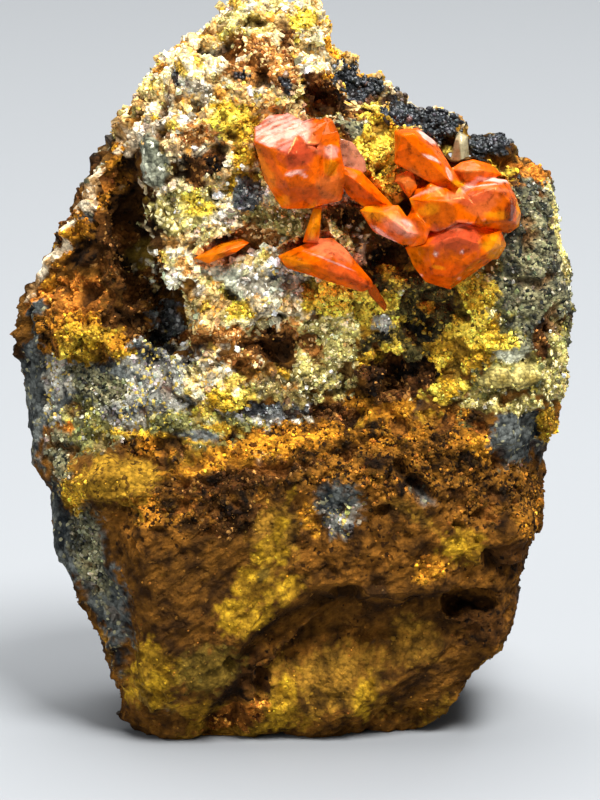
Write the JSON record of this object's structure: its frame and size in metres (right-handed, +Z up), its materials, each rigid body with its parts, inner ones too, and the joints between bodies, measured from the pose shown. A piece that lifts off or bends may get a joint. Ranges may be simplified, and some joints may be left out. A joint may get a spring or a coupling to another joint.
{
  "type": "mineral specimen",
  "caption": "Wulfenite crystals on a chip of ochre-stained matrix rock, standing on a flat trimmed foot as a display specimen.",
  "frame": {"origin": "on the flat foot that the rock stands on, under the middle of the rock", "axes": "+Z up, -Y the front that carries the crystals, +X to the right as the front is looked at"},
  "size_m": [0.0276, 0.0184, 0.0366],
  "materials": {
    "matrix": "matte, granular, ochre and pale druse",
    "wulfenite": "glossy, see-through orange",
    "cerussite": "glossy, cloudy, pale"
  },
  "bodies": {
    "root": {"matrix_rock": "matrix", "wulfenite_main_cluster": "wulfenite", "wulfenite_lower_wedge": "wulfenite", "wulfenite_thin_blade": "wulfenite", "wulfenite_small_sliver": "wulfenite", "cerussite_tooth": "cerussite"}
  },
  "joints": []
}
